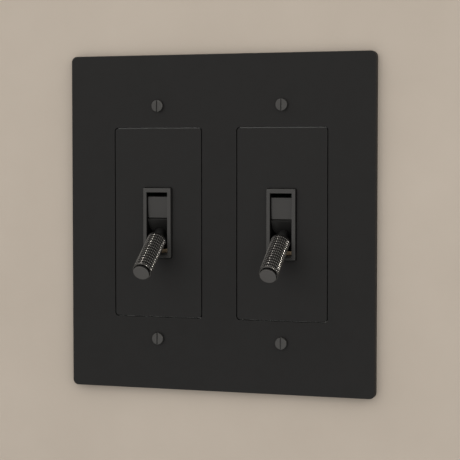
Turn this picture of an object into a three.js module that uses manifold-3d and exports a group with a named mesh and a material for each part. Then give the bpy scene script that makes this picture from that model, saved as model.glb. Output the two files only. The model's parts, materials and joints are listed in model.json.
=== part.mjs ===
// Two-gang wall plate with two knurled levers, each driving a slide dimmer behind the wall.
//
// Frame, in millimetres: +X to the right along the wall, +Y into the wall, +Z up.
// The origin is the centre of the wall plate's back face, which lies on the wall.

import * as THREE from 'three';
import { mergeVertices } from 'three/addons/utils/BufferGeometryUtils.js';
import Module from 'manifold-3d';

const wasm = await Module();
wasm.setup();

// ---------------------------------------------------------------- driving dimensions

const GANG_PITCH = 46.04;
const SCREW_SPACING = 83.34;
const FIT_GAP = 0.1;
const WELD_TOLERANCE = 1e-4;
const CUT_THROUGH = 5;

const PLATE = { width: 112.8, height: 119.6, thick: 3.0, corner: 2.0 };
const PLATE_POCKET = { width: 34.4, height: 107.6, depth: 1.6, corner: 1.5 };
const INSERT = { width: 32.7, height: 67.4, thick: 1.4, corner: 1.0, jointGap: 0.25 };
const INSERT_STUD = { radius: 1.5, length: 1.4, z: 28 };

const BEZEL = { width: 10.4, height: 24.8, proud: 1.25, slotWidth: 7.7, slotHeight: 21.6, corner: 0.35 };
const BEZEL_GAP = 0.22;
const BEZEL_FLANGE = { width: 12.2, height: 25.8, corner: 1.0, front: -1.5, back: 0.0 };
const BEZEL_RELIEF = { height: 23.4, front: -1.7 };
const STOP_STRIP = { halfWidth: 3.7, front: -2.3, back: -1.3, low: -10.75, high: -9.4 };

const PIVOT_Y = 4.4;
const LEVER_REST_DEG = 35;
const PIN_RADIUS = 1.25;
const RUNNING_CLEARANCE = 0.1;

const NECK = { radius: 2.05, back: 6.05, chamfer: 0.1 };
const NECK_STUD = { radius: 1.2, start: 1.7 };
const GRIP = { radius: 3.4, start: 10.5, end: 28.4, bore: 1.6, rimBore: 2.95, rimFloor: 27.3 };
const GRIP_CHAMFER = { start: 0.3, end: 0.15 };
const GRIP_STUD = { radius: 1.5, neckEnd: 20.0, capEnd: 24.0 };
const END_CAP = { waist: 2.4, back: 27.4, radius: 2.87, headBack: 28.8, front: 29.5, chamfer: 0.12 };

const HUB = { radius: 3.6, halfWidth: 3.0, plainEnd: -4.2, flat: 4.0, flatHalfHeight: 4.2 };
const SHIELD = { halfWidth: 3.65, bulge: 0.15, rootY: -4.92, rootZ: 5.7 };
const UPPER_TIP = { y: -0.9, z: 11.95 };
const LOWER_TIP = { y: -1.5, z: 10.45 };
const BOSS = { face: -5.95, top: 5.6, archCentre: 2.6, back: -3.4 };
const BOSS_GROOVE = { front: -5.35, back: -4.2, floor: 4.95 };
const DRIVE_PIN = { radius: 1.0, reach: 9.0, low: -1.9, high: 4.4 };
const DRIVE_ARM = { halfWidth: 1.4, halfHeight: 1.9, end: 10.6 };

const YOKE = { halfWidth: 16.9, earHalfWidth: 12, shoulder: 37, halfHeight: 53.2, front: -1.3, back: -0.1 };
const YOKE_WINDOW = { width: 12.4, height: 26, corner: 1 };
const YOKE_SLOPE = 2;
const YOKE_SCREW_SLOT = 7.6;
const BRACKET = { flangeWidth: 18, flangeHeight: 32, windowHeight: 25.8, front: 0.1, thick: 1.0 };
const BRACKET_CORNER = 1;
const CHEEK = { inner: 4.3, thick: 1.2, halfHeight: 4.6 };
const PIN_HEAD = { radius: 2.1, height: 1.4, chamfer: 0.2 };
const PIN_END = { x: 7.3, chamfer: 0.3 };
const CLIP = { radius: 2.7, thick: 0.7, bite: 0.05 };
const WASHER = { bore: 1.5, radius: 3.0, rimX: 3.1, dish: 0.75, thick: 0.3 };

const HOUSING = { halfWidth: 17, halfHeight: 33, front: 0.2, back: 30, wall: 1.5, corner: 2 };
const HOUSING_PANEL = { width: 24, height: 46, depth: 0.5, corner: 1.5 };
const HOUSING_LEDGE = { y: 24.5, width: 2.0 };
const HOUSING_LUG = { halfWidth: 4, reach: 38.6, back: 5.2, screwZ: 36 };
const BOARD = { halfWidth: 15, halfHeight: 31, front: 22.6, thick: 1.6, corner: 1 };

const POT = { low: -0.4, high: 6.4, front: 16.8, back: 22.3, halfHeight: 12, middle: 3.0, wall: 1.1 };
const POT_TRACK = { halfWidth: 2.6, halfHeight: 10, slotHalfWidth: 0.8, slotHalfHeight: 9.5 };
const CARRIAGE = { forkLow: 1.9, forkHigh: 4.1, forkFront: 9.9, forkBack: 15.9, forkHalfHeight: 2.5 };
const FORK_SLOT = { halfHeight: 1.3, back: 14.7 };
const CARRIAGE_STEM = { halfWidth: 0.4, halfHeight: 1.5, back: 19 };
const CARRIAGE_SHOE = { halfWidth: 2.2, halfHeight: 2.3, front: 18.5, back: 20.6 };

const TRIAC = { halfWidth: 5, front: 0.2, back: 4.7, low: 17, high: 25.5 };
const TRIAC_TAB = { back: 1.5, high: 31, holeRadius: 1.8, holeZ: 28.4 };
const TRIAC_LEAD = { pitch: 2.54, half: 0.35, front: 2.0, thick: 0.7, low: 16.2 };
const CHOKE = { ringRadius: 5.5, woundRadius: 3.1, steps: 10, x: -2, z: -21.8 };
const CAPACITOR = { width: 12, height: 9.5, corner: 1, front: 12, z: 23.5 };

const BOX_SCREW = { headRadius: 2.15, headHeight: 1.0, shankRadius: 1.7, tip: 16, holeRadius: 1.9 };
const HOUSING_SCREW = { headRadius: 2.7, headHeight: 2.0, shankRadius: 1.5, tip: -1.0, holeRadius: 1.7 };
const GROUND_SCREW = { headRadius: 3.0, headHeight: 2.2, shankRadius: 1.6, holeRadius: 1.9, x: 9, z: -46 };
const GROUND_SCREW_TIP = -1.2;
const TERMINAL = { headRadius: 3.2, headHeight: 2.2, shankRadius: 1.6, holeRadius: 1.9, y: 12, z: 14 };
const TERMINAL_SCREW_LENGTH = 4.2;
const TERMINAL_PLATE = { thick: 1.0, halfLength: 5, halfHeight: 4 };
const DRIVER_SLOT = { width: 0.6, depth: 0.5 };
const SCREW_SHAPE = { crownHeight: 0.7, crownRadius: 0.86, tipRadius: 0.8, tipLength: 0.5 };

const ROUND = 20;
const FINE_ROUND = 28;
const SMALL_ROUND = 16;
const CORNER_STEPS = 4;
const ARCH_STEPS = 8;

// ---------------------------------------------------------------- materials

const material = (color, roughness, metalness) =>
  new THREE.MeshStandardMaterial({ color, roughness, metalness });

const FINISH = {
  plate: () => material(0x2a2a29, 0.62, 0.25),
  insert: () => material(0x2b2b2a, 0.6, 0.25),
  satin: () => material(0x454443, 0.42, 0.75),
  neck: () => material(0x191918, 0.5, 0.4),
  grip: () => material(0x3c3b3a, 0.34, 0.9),
  cap: () => material(0x4b4a48, 0.4, 0.8),
  screw: () => material(0x474645, 0.42, 0.8),
  brass: () => material(0xa07c46, 0.4, 0.9),
  steel: () => material(0x9a9b9c, 0.35, 0.95),
  zinc: () => material(0xb4b6b4, 0.45, 0.9),
  housing: () => material(0x1c1c1e, 0.55, 0.0),
  board: () => material(0x1f5a36, 0.5, 0.0),
  black: () => material(0x161617, 0.5, 0.0),
  nylon: () => material(0xd8d4c6, 0.6, 0.0),
  copper: () => material(0x9c5a34, 0.4, 0.8),
  film: () => material(0xa84a2c, 0.45, 0.0),
  green: () => material(0x2f7a3e, 0.45, 0.6),
};

// ---------------------------------------------------------------- solids from geometries

const AXIS_X = new THREE.Vector3(1, 0, 0);
const AXIS_Y = new THREE.Vector3(0, 1, 0);
const AXIS_Z = new THREE.Vector3(0, 0, 1);

function signedVolume(geometry) {
  const place = geometry.attributes.position;
  const corners = geometry.index.array;
  const a = new THREE.Vector3();
  const b = new THREE.Vector3();
  const c = new THREE.Vector3();
  let sum = 0;
  for (let i = 0; i < corners.length; i += 3) {
    a.fromBufferAttribute(place, corners[i]);
    b.fromBufferAttribute(place, corners[i + 1]);
    c.fromBufferAttribute(place, corners[i + 2]);
    sum += a.dot(b.cross(c)) / 6;
  }
  return sum;
}

function dropFlatTriangles(geometry) {
  const corners = geometry.index.array;
  const kept = [];
  for (let i = 0; i < corners.length; i += 3) {
    const [p, q, r] = [corners[i], corners[i + 1], corners[i + 2]];
    if (p !== q && q !== r && r !== p) kept.push(p, q, r);
  }
  geometry.setIndex(kept);
}

// The same surface with its vertices shared and its faces pointing out.
function closed(geometry) {
  const bare = geometry.clone();
  bare.deleteAttribute('normal');
  bare.deleteAttribute('uv');
  const welded = mergeVertices(bare, WELD_TOLERANCE);
  dropFlatTriangles(welded);
  if (signedVolume(welded) < 0) welded.setIndex(Array.from(welded.index.array).reverse());
  return welded;
}

function solid(geometry) {
  const surface = closed(geometry);
  return new wasm.Manifold(new wasm.Mesh({
    numProp: 3,
    vertProperties: new Float32Array(surface.attributes.position.array),
    triVerts: new Uint32Array(surface.index.array),
  }));
}

function geometryOf(manifold) {
  const mesh = manifold.getMesh();
  const geometry = new THREE.BufferGeometry();
  geometry.setAttribute('position', new THREE.BufferAttribute(new Float32Array(mesh.vertProperties), 3));
  geometry.setIndex(new THREE.BufferAttribute(new Uint32Array(mesh.triVerts), 1));
  return geometry;
}

const joined = (...geometries) =>
  geometryOf(geometries.map(solid).reduce((whole, next) => whole.add(next)));

const cut = (body, ...tools) =>
  geometryOf(tools.map(solid).reduce((whole, next) => whole.subtract(next), solid(body)));

// ---------------------------------------------------------------- shapes

function box([x0, x1], [y0, y1], [z0, z1]) {
  const geometry = new THREE.BoxGeometry(x1 - x0, y1 - y0, z1 - z0);
  return geometry.translate((x0 + x1) / 2, (y0 + y1) / 2, (z0 + z1) / 2);
}

function roundedRectangle(width, height, radius) {
  const x = width / 2;
  const y = height / 2;
  const shape = new THREE.Shape();
  shape.moveTo(-x + radius, -y);
  shape.lineTo(x - radius, -y);
  shape.absarc(x - radius, -y + radius, radius, -Math.PI / 2, 0);
  shape.absarc(x - radius, y - radius, radius, 0, Math.PI / 2);
  shape.absarc(-x + radius, y - radius, radius, Math.PI / 2, Math.PI);
  shape.absarc(-x + radius, -y + radius, radius, Math.PI, Math.PI * 1.5);
  return shape;
}

// A shape drawn in the wall's plane, given thickness from its front to its back.
function slab(shape, front, back) {
  const geometry = new THREE.ExtrudeGeometry(shape, {
    depth: back - front, bevelEnabled: false, curveSegments: CORNER_STEPS,
  });
  geometry.applyMatrix4(new THREE.Matrix4().makeBasis(AXIS_X, AXIS_Z, AXIS_Y.clone().negate()));
  return geometry.translate(0, back, 0);
}

// A shape drawn in the vertical plane square to the wall, given width along X.
function sideSlab(shape, low, high) {
  const geometry = new THREE.ExtrudeGeometry(shape, {
    depth: high - low, bevelEnabled: false, curveSegments: 2 * CORNER_STEPS,
  });
  geometry.applyMatrix4(new THREE.Matrix4().makeBasis(AXIS_Y, AXIS_Z, AXIS_X));
  return geometry.translate(low, 0, 0);
}

// Turned about X: each point is [radius, x].
function turnedAboutX(points, segments = ROUND) {
  const profile = points.map(([radius, x]) => new THREE.Vector2(radius, x));
  return new THREE.LatheGeometry(profile, segments).rotateZ(-Math.PI / 2);
}

// Turned about Y: each point is [radius, y].
function turnedAboutY(points, segments = ROUND) {
  const profile = points.map(([radius, y]) => new THREE.Vector2(radius, y));
  return new THREE.LatheGeometry(profile, segments);
}

// Turned about the lever's own axis: each point is [radius, distance out from the pivot].
const turnedOnLever = (points, segments = FINE_ROUND) =>
  turnedAboutY(points.map(([radius, out]) => [radius, -out]), segments);

const rodAboutX = (radius, low, high, segments = ROUND) =>
  turnedAboutX([[0, low], [radius, low], [radius, high], [0, high]], segments);

const rodAboutY = (radius, low, high, segments = ROUND) =>
  turnedAboutY([[0, low], [radius, low], [radius, high], [0, high]], segments);

function named(name, geometry, finish, parent) {
  const mesh = new THREE.Mesh(closed(geometry), finish());
  mesh.name = name;
  parent.add(mesh);
  return mesh;
}

// A slotted screw along Y: the head's underside is at `seat`, the shank runs to `tip`.
function slottedScrew({ headRadius, headHeight, shankRadius }, seat, tip) {
  const out = Math.sign(seat - tip);
  const top = seat + out * headHeight;
  const crown = seat + out * headHeight * SCREW_SHAPE.crownHeight;
  const body = turnedAboutY([
    [0, tip],
    [shankRadius * SCREW_SHAPE.tipRadius, tip],
    [shankRadius, tip + out * SCREW_SHAPE.tipLength],
    [shankRadius, seat],
    [headRadius, seat],
    [headRadius, crown],
    [headRadius * SCREW_SHAPE.crownRadius, top],
    [0, top],
  ], SMALL_ROUND);
  const floor = top - out * DRIVER_SLOT.depth;
  const mouth = top + out;
  const slot = box(
    [-DRIVER_SLOT.width / 2, DRIVER_SLOT.width / 2],
    [Math.min(floor, mouth), Math.max(floor, mouth)],
    [-headRadius - 1, headRadius + 1],
  );
  return cut(body, slot);
}

// ---------------------------------------------------------------- wall plate and inserts

const GANGS = { left: -GANG_PITCH / 2, right: GANG_PITCH / 2 };
const ENDS = { upper: 1, lower: -1 };
const PLATE_FRONT = -PLATE.thick;
const INSERT_BACK = PLATE_FRONT + INSERT.thick;

function wallPlate() {
  const tools = [];
  for (const x of Object.values(GANGS)) {
    const openingWidth = INSERT.width + 2 * INSERT.jointGap;
    const openingHeight = INSERT.height + 2 * INSERT.jointGap;
    const openingCorner = INSERT.corner + INSERT.jointGap;
    const opening = roundedRectangle(openingWidth, openingHeight, openingCorner);
    const pocket = roundedRectangle(PLATE_POCKET.width, PLATE_POCKET.height, PLATE_POCKET.corner);
    tools.push(slab(opening, PLATE_FRONT - 1, 1).translate(x, 0, 0));
    tools.push(slab(pocket, -PLATE_POCKET.depth, 1).translate(x, 0, 0));
    for (const end of Object.values(ENDS)) {
      const hole = rodAboutY(BOX_SCREW.holeRadius, PLATE_FRONT - 1, 1, SMALL_ROUND);
      tools.push(hole.translate(x, 0, end * SCREW_SPACING / 2));
    }
  }
  return cut(slab(roundedRectangle(PLATE.width, PLATE.height, PLATE.corner), PLATE_FRONT, 0), ...tools);
}

function insertPlate() {
  const outline = roundedRectangle(INSERT.width, INSERT.height, INSERT.corner);
  const blank = slab(outline, PLATE_FRONT, INSERT_BACK);
  const studs = Object.values(ENDS).map((end) =>
    rodAboutY(INSERT_STUD.radius, PLATE_FRONT + 1, INSERT_BACK + INSERT_STUD.length, SMALL_ROUND)
      .translate(0, 0, end * INSERT_STUD.z));
  const openingWidth = BEZEL.width + 2 * BEZEL_GAP;
  const openingHeight = BEZEL.height + 2 * BEZEL_GAP;
  const opening = roundedRectangle(openingWidth, openingHeight, BEZEL.corner + BEZEL_GAP);
  return cut(joined(blank, ...studs), slab(opening, PLATE_FRONT - 1, 1));
}

// A plain frame that stands through the insert, with a wider flange behind the insert to hold it.
function bezelFrame() {
  const outline = roundedRectangle(BEZEL.width, BEZEL.height, BEZEL.corner);
  const flange = roundedRectangle(BEZEL_FLANGE.width, BEZEL_FLANGE.height, BEZEL_FLANGE.corner);
  const halfWidth = BEZEL.slotWidth / 2;
  const slot = box(
    [-halfWidth, halfWidth],
    [-CUT_THROUGH, 1],
    [-BEZEL.slotHeight / 2, BEZEL.slotHeight / 2],
  );
  const relief = box(
    [-halfWidth, halfWidth],
    [BEZEL_RELIEF.front, 1],
    [-BEZEL_RELIEF.height / 2, BEZEL_RELIEF.height / 2],
  );
  const body = joined(
    slab(outline, PLATE_FRONT - BEZEL.proud, BEZEL_FLANGE.back),
    slab(flange, BEZEL_FLANGE.front, BEZEL_FLANGE.back),
  );
  return cut(body, slot, relief);
}

const stopStrip = () => box(
  [-STOP_STRIP.halfWidth, STOP_STRIP.halfWidth],
  [STOP_STRIP.front, STOP_STRIP.back],
  [STOP_STRIP.low, STOP_STRIP.high],
);

// ---------------------------------------------------------------- lever
// Lever pieces are drawn with the pivot at the origin and the lever pointing along -Y.

// One shield seen from the side: from its edge beside the boss out to its tip.
function shieldOutline(side, tip) {
  const root = new THREE.Vector2(SHIELD.rootY, SHIELD.rootZ * side);
  const end = new THREE.Vector2(tip.y, tip.z * side);
  const across = end.clone().sub(root);
  const outward = new THREE.Vector2(-Math.abs(across.y), across.x * side).normalize();
  const middle = root.clone().lerp(end, 0.5).addScaledVector(outward, 2 * SHIELD.bulge);
  const shape = new THREE.Shape();
  shape.moveTo(root.x, root.y);
  shape.quadraticCurveTo(middle.x, middle.y, end.x, end.y);
  for (const [y, z] of [[end.x + 1.2, tip.z - 0.5], [-1.9, 6.9], [-2.9, 4.7]]) shape.lineTo(y, z * side);
  shape.closePath();
  return shape;
}

// The web that carries both shields on the hub, from its middle up: each point is [y, z].
const WEB_POINTS = [
  [1.2, 2.6],
  [-0.9, 5.6],
  [-2.1, 7.4],
  [-3.35, 5.3],
  [-HUB.flat, HUB.flatHalfHeight],
];

function webOutline() {
  const below = WEB_POINTS.map(([y, z]) => [y, -z]).reverse();
  return new THREE.Shape([...below, ...WEB_POINTS].map(([y, z]) => new THREE.Vector2(y, z)));
}

// Half of the boss round the neck: square at its outer end, round where it passes the neck.
function bossHalf(side) {
  const { face, top, archCentre, back } = BOSS;
  const half = SHIELD.halfWidth;
  const points = [new THREE.Vector2(half, top), new THREE.Vector2(-half, top)];
  for (let i = 0; i <= 2 * ARCH_STEPS; i += 1) {
    const turn = Math.PI * (1 + i / (2 * ARCH_STEPS));
    points.push(new THREE.Vector2(half * Math.cos(turn), archCentre + half * Math.sin(turn)));
  }
  const arch = slab(new THREE.Shape(points), face, back);
  const groove = box(
    [-half - 1, half + 1],
    [BOSS_GROOVE.front, BOSS_GROOVE.back],
    [BOSS_GROOVE.floor, top + 1],
  );
  return cut(arch, groove).rotateY(side > 0 ? 0 : Math.PI);
}

function rocker() {
  const { halfWidth, radius, plainEnd } = HUB;
  const { reach } = DRIVE_PIN;
  const arm = DRIVE_ARM.halfWidth;
  const body = joined(
    rodAboutX(radius, plainEnd, halfWidth, FINE_ROUND),
    sideSlab(webOutline(), -halfWidth, halfWidth),
    bossHalf(1),
    bossHalf(-1),
    sideSlab(shieldOutline(1, UPPER_TIP), -SHIELD.halfWidth, SHIELD.halfWidth),
    sideSlab(shieldOutline(-1, LOWER_TIP), -SHIELD.halfWidth, SHIELD.halfWidth),
    box([-arm, arm], [1, reach], [-DRIVE_ARM.halfHeight, DRIVE_ARM.halfHeight]),
    rodAboutX(DRIVE_ARM.end - reach, -arm, arm, SMALL_ROUND).translate(0, reach, 0),
  );
  const through = [-CUT_THROUGH, CUT_THROUGH];
  const pinHole = rodAboutX(PIN_RADIUS + RUNNING_CLEARANCE, ...through);
  const driveHole = rodAboutX(DRIVE_PIN.radius + FIT_GAP, ...through, SMALL_ROUND).translate(0, reach, 0);
  const studHole = rodAboutY(
    NECK_STUD.radius + FIT_GAP,
    -2 * CUT_THROUGH,
    -NECK_STUD.start + FIT_GAP,
    SMALL_ROUND,
  );
  return cut(body, pinHole, driveHole, studHole);
}

function leverNeck() {
  const { radius, back, chamfer } = NECK;
  const front = GRIP.start - FIT_GAP;
  return turnedOnLever([
    [0, NECK_STUD.start],
    [NECK_STUD.radius, NECK_STUD.start],
    [NECK_STUD.radius, back],
    [radius - chamfer, back],
    [radius, back + chamfer],
    [radius, front - chamfer],
    [radius - chamfer, front],
    [GRIP_STUD.radius, front],
    [GRIP_STUD.radius, GRIP_STUD.neckEnd],
    [0, GRIP_STUD.neckEnd],
  ]);
}

const knurledGrip = () => turnedOnLever([
  [GRIP.bore, GRIP.start],
  [GRIP.radius - GRIP_CHAMFER.start, GRIP.start],
  [GRIP.radius, GRIP.start + GRIP_CHAMFER.start],
  [GRIP.radius, GRIP.end - GRIP_CHAMFER.end],
  [GRIP.radius - GRIP_CHAMFER.end, GRIP.end],
  [GRIP.rimBore, GRIP.end],
  [GRIP.rimBore, GRIP.rimFloor],
  [GRIP.bore, GRIP.rimFloor],
  [GRIP.bore, GRIP.start],
]);

const endCap = () => turnedOnLever([
  [0, GRIP_STUD.capEnd],
  [GRIP_STUD.radius, GRIP_STUD.capEnd],
  [GRIP_STUD.radius, END_CAP.back],
  [END_CAP.waist, END_CAP.back],
  [END_CAP.waist, END_CAP.headBack],
  [END_CAP.radius, END_CAP.headBack],
  [END_CAP.radius, END_CAP.front - END_CAP.chamfer],
  [END_CAP.radius - END_CAP.chamfer, END_CAP.front],
  [0, END_CAP.front],
]);

const drivePin = () => rodAboutX(DRIVE_PIN.radius, DRIVE_PIN.low, DRIVE_PIN.high, SMALL_ROUND)
  .translate(0, DRIVE_PIN.reach, 0);

// ---------------------------------------------------------------- yoke, bracket and pivot

function yokeOutline() {
  const { halfWidth, earHalfWidth, shoulder, halfHeight } = YOKE;
  const quarter = [
    [halfWidth, shoulder - YOKE_SLOPE],
    [earHalfWidth, shoulder + YOKE_SLOPE],
    [earHalfWidth, halfHeight],
  ];
  const flipped = [...quarter].reverse();
  const corners = [
    ...quarter,
    ...flipped.map(([x, z]) => [-x, z]),
    ...quarter.map(([x, z]) => [-x, -z]),
    ...flipped.map(([x, z]) => [x, -z]),
  ];
  return new THREE.Shape(corners.map(([x, z]) => new THREE.Vector2(x, z)));
}

function mountingYoke() {
  const window = roundedRectangle(YOKE_WINDOW.width, YOKE_WINDOW.height, YOKE_WINDOW.corner);
  const hole = (radius) => rodAboutY(radius, -CUT_THROUGH, 1, SMALL_ROUND);
  const tools = [
    slab(window, YOKE.front - 1, YOKE.back + 1),
    hole(GROUND_SCREW.holeRadius).translate(GROUND_SCREW.x, 0, GROUND_SCREW.z),
  ];
  for (const end of Object.values(ENDS)) {
    const roundEnd = BOX_SCREW.holeRadius - FIT_GAP / 10;
    const screwSlot = roundedRectangle(YOKE_SCREW_SLOT, 2 * BOX_SCREW.holeRadius, roundEnd);
    tools.push(slab(screwSlot, YOKE.front - 1, YOKE.back + 1).translate(0, 0, end * SCREW_SPACING / 2));
    tools.push(hole(INSERT_STUD.radius + 3 * FIT_GAP).translate(0, 0, end * INSERT_STUD.z));
    tools.push(hole(HOUSING_SCREW.holeRadius).translate(0, 0, end * HOUSING_LUG.screwZ));
  }
  return cut(slab(yokeOutline(), YOKE.front, YOKE.back), ...tools);
}

function cheekOutline() {
  const root = BRACKET.front + BRACKET.thick / 2;
  const shape = new THREE.Shape();
  shape.moveTo(root, -CHEEK.halfHeight);
  shape.lineTo(PIVOT_Y, -CHEEK.halfHeight);
  shape.absarc(PIVOT_Y, 0, CHEEK.halfHeight, -Math.PI / 2, Math.PI / 2);
  shape.lineTo(root, CHEEK.halfHeight);
  shape.closePath();
  return shape;
}

function pivotBracket() {
  const outline = roundedRectangle(BRACKET.flangeWidth, BRACKET.flangeHeight, BRACKET_CORNER);
  const cheekOuter = CHEEK.inner + CHEEK.thick;
  const window = box(
    [-CHEEK.inner, CHEEK.inner],
    [-1, PIVOT_Y * 4],
    [-BRACKET.windowHeight / 2, BRACKET.windowHeight / 2],
  );
  const pinHole = rodAboutX(PIN_RADIUS + RUNNING_CLEARANCE, -BRACKET.flangeWidth, BRACKET.flangeWidth);
  const body = joined(
    slab(outline, BRACKET.front, BRACKET.front + BRACKET.thick),
    sideSlab(cheekOutline(), -cheekOuter, -CHEEK.inner + CHEEK.thick / 10),
    sideSlab(cheekOutline(), CHEEK.inner - CHEEK.thick / 10, cheekOuter),
  );
  return cut(body, window, pinHole.translate(0, PIVOT_Y, 0));
}

function pivotPin() {
  const face = -(CHEEK.inner + CHEEK.thick) - FIT_GAP;
  const { radius, height, chamfer } = PIN_HEAD;
  return turnedAboutX([
    [0, face - height],
    [radius - chamfer, face - height],
    [radius, face - height + chamfer],
    [radius, face],
    [PIN_RADIUS, face],
    [PIN_RADIUS, PIN_END.x - PIN_END.chamfer],
    [PIN_RADIUS - PIN_END.chamfer, PIN_END.x],
    [0, PIN_END.x],
  ]).translate(0, PIVOT_Y, 0);
}

function pivotClip() {
  const face = CHEEK.inner + CHEEK.thick + FIT_GAP;
  const inner = PIN_RADIUS + CLIP.bite;
  return turnedAboutX([
    [inner, face],
    [CLIP.radius, face],
    [CLIP.radius, face + CLIP.thick],
    [inner, face + CLIP.thick],
    [inner, face],
  ]).translate(0, PIVOT_Y, 0);
}

// A dished spring washer between the hub and a cheek: it gives the lever its drag.
function frictionWasher() {
  const { bore, radius, rimX, dish, thick } = WASHER;
  return turnedAboutX([
    [bore, rimX + dish],
    [radius, rimX],
    [radius, rimX + thick],
    [bore, rimX + dish + thick],
    [bore, rimX + dish],
  ]).translate(0, PIVOT_Y, 0);
}

// ---------------------------------------------------------------- housing and dimmer

function housingLug(end) {
  const inner = end * (HOUSING.halfHeight - 1);
  const outer = end * HOUSING_LUG.reach;
  return box(
    [-HOUSING_LUG.halfWidth, HOUSING_LUG.halfWidth],
    [HOUSING.front, HOUSING_LUG.back],
    [Math.min(inner, outer), Math.max(inner, outer)],
  );
}

function rearHousing() {
  const { halfWidth, halfHeight, front, back, wall, corner } = HOUSING;
  const inner = halfWidth - wall;
  const tall = halfHeight - wall;
  const ledge = HOUSING_LEDGE.width;
  const shell = slab(roundedRectangle(2 * halfWidth, 2 * halfHeight, corner), front, back);
  const panel = roundedRectangle(HOUSING_PANEL.width, HOUSING_PANEL.height, HOUSING_PANEL.corner);
  const tools = [
    box([-inner, inner], [-1, HOUSING_LEDGE.y], [-tall, tall]),
    box([-inner + ledge, inner - ledge], [HOUSING_LEDGE.y - 1, back - wall], [-tall + ledge, tall - ledge]),
    slab(panel, back - HOUSING_PANEL.depth, back + 1),
  ];
  for (const end of Object.values(ENDS)) {
    const lugHole = rodAboutY(HOUSING_SCREW.holeRadius, -1, back, SMALL_ROUND);
    const wallHole = rodAboutX(TERMINAL.holeRadius, inner - 1, halfWidth + 1, SMALL_ROUND);
    tools.push(lugHole.translate(0, 0, end * HOUSING_LUG.screwZ));
    tools.push(wallHole.translate(0, TERMINAL.y, end * TERMINAL.z));
  }
  return cut(joined(shell, ...Object.values(ENDS).map(housingLug)), ...tools);
}

function circuitBoard() {
  const outline = roundedRectangle(2 * BOARD.halfWidth, 2 * BOARD.halfHeight, BOARD.corner);
  return slab(outline, BOARD.front, BOARD.front + BOARD.thick);
}

function slidePotBody() {
  const { low, high, front, back, halfHeight, middle, wall } = POT;
  const { halfWidth, slotHalfWidth, slotHalfHeight } = POT_TRACK;
  const track = [-POT_TRACK.halfHeight, POT_TRACK.halfHeight];
  return cut(
    box([low, high], [front, back], [-halfHeight, halfHeight]),
    box([middle - halfWidth, middle + halfWidth], [front + wall, back - wall], track),
    box(
      [middle - slotHalfWidth, middle + slotHalfWidth],
      [front - 1, front + 2],
      [-slotHalfHeight, slotHalfHeight],
    ),
  );
}

// Drawn with the drive pin's height at z = 0.
function wiperCarriage() {
  const { forkLow, forkHigh, forkFront, forkBack, forkHalfHeight } = CARRIAGE;
  const middle = POT.middle;
  const stem = CARRIAGE_STEM;
  const shoe = CARRIAGE_SHOE;
  const body = joined(
    box([forkLow, forkHigh], [forkFront, forkBack], [-forkHalfHeight, forkHalfHeight]),
    box(
      [middle - stem.halfWidth, middle + stem.halfWidth],
      [forkBack - 1, stem.back],
      [-stem.halfHeight, stem.halfHeight],
    ),
    box(
      [middle - shoe.halfWidth, middle + shoe.halfWidth],
      [shoe.front, shoe.back],
      [-shoe.halfHeight, shoe.halfHeight],
    ),
  );
  const slot = box(
    [forkLow - 1, forkHigh + 1],
    [forkFront - 1, FORK_SLOT.back],
    [-FORK_SLOT.halfHeight, FORK_SLOT.halfHeight],
  );
  return cut(body, slot);
}

function triac() {
  const { halfWidth, front, back, low, high } = TRIAC;
  const lead = TRIAC_LEAD;
  const leadTop = lead.low + lead.thick;
  const leads = [-lead.pitch, 0, lead.pitch].flatMap((x) => [
    box([x - lead.half, x + lead.half], [lead.front, lead.front + lead.thick], [lead.low, low + 1]),
    box([x - lead.half, x + lead.half], [lead.front, BOARD.front - FIT_GAP], [lead.low, leadTop]),
  ]);
  const body = joined(
    box([-halfWidth, halfWidth], [front, back], [low, high]),
    box([-halfWidth, halfWidth], [front, TRIAC_TAB.back], [high - 1, TRIAC_TAB.high]),
    ...leads,
  );
  const hole = rodAboutY(TRIAC_TAB.holeRadius, -1, TRIAC_TAB.back + 1, SMALL_ROUND);
  return cut(body, hole.translate(0, 0, TRIAC_TAB.holeZ));
}

function choke() {
  const { ringRadius, woundRadius, steps, x, z } = CHOKE;
  const points = [];
  for (let i = 0; i < steps; i += 1) {
    const turn = (i / steps) * 2 * Math.PI;
    points.push([ringRadius + woundRadius * Math.cos(turn), woundRadius * Math.sin(turn)]);
  }
  points.push(points[0]);
  return turnedAboutY(points, ROUND).translate(x, BOARD.front - woundRadius - 2 * FIT_GAP, z);
}

function capacitor() {
  const outline = roundedRectangle(CAPACITOR.width, CAPACITOR.height, CAPACITOR.corner);
  return slab(outline, CAPACITOR.front, BOARD.front - 2 * FIT_GAP).translate(0, 0, CAPACITOR.z);
}

function terminalScrew(end) {
  const seat = HOUSING.halfWidth + TERMINAL_PLATE.thick + 2 * FIT_GAP;
  const screw = slottedScrew(TERMINAL, seat, seat - TERMINAL_SCREW_LENGTH);
  return screw.rotateZ(-Math.PI / 2).translate(0, TERMINAL.y, end * TERMINAL.z);
}

function terminalPlate(end) {
  const inner = HOUSING.halfWidth + FIT_GAP;
  const { thick, halfLength, halfHeight } = TERMINAL_PLATE;
  const blank = box([inner, inner + thick], [-halfLength, halfLength], [-halfHeight, halfHeight]);
  const hole = rodAboutX(TERMINAL.holeRadius, inner - 1, inner + thick + 1, SMALL_ROUND);
  return cut(blank, hole).translate(0, TERMINAL.y, end * TERMINAL.z);
}

// ---------------------------------------------------------------- assembly

const assembly = new THREE.Group();
named('wall_plate', wallPlate(), FINISH.plate, assembly);

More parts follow.
